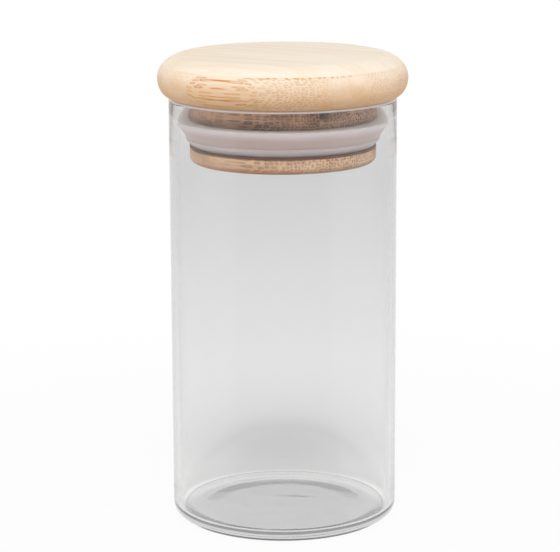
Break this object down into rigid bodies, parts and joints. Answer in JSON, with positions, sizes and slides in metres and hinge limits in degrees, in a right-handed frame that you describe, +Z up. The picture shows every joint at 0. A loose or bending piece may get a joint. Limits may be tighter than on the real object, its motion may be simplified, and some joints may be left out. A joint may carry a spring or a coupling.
{
  "type": "lidded glass canister",
  "caption": "Straight-walled clear glass canister closed by a turned bamboo lid, whose plug carries a silicone seal that grips the mouth of the jar.",
  "frame": {"origin": "middle of the jar's flat base", "axes": "+Z up along the jar's axis, from the base to the lid; the view in which the object is described looks along +Y with +X to the right"},
  "size_m": [0.0712, 0.0712, 0.1351],
  "materials": {
    "glass": "clear, fire-polished",
    "silicone": "translucent milky, satin",
    "bamboo_face": "sanded, lightly oiled",
    "bamboo_core": "sanded, lightly oiled"
  },
  "bodies": {
    "jar": {"glass_jar": "glass"},
    "seal": {"silicone_seal": "silicone"},
    "lid": {"face_strip_1": "bamboo_face", "face_strip_2": "bamboo_face", "face_strip_3": "bamboo_face", "cap_strip_1": "bamboo_core", "cap_strip_2": "bamboo_core", "cap_strip_3": "bamboo_core", "cap_strip_4": "bamboo_core", "neck_strip_1": "bamboo_core", "neck_strip_2": "bamboo_core", "neck_strip_3": "bamboo_core", "foot_strip_1": "bamboo_core", "foot_strip_2": "bamboo_core", "foot_strip_3": "bamboo_core"}
  },
  "joints": [
    {"name": "lid_lift", "type": "slide", "parent": "jar", "child": "seal", "axis": [0, 0, 1], "range_m": [0, 0.05]},
    {"name": "lid_turn", "type": "hinge", "parent": "seal", "child": "lid", "pos_m": [0, 0, 0.1138], "axis": [0, 0, 1], "continuous": true}
  ]
}
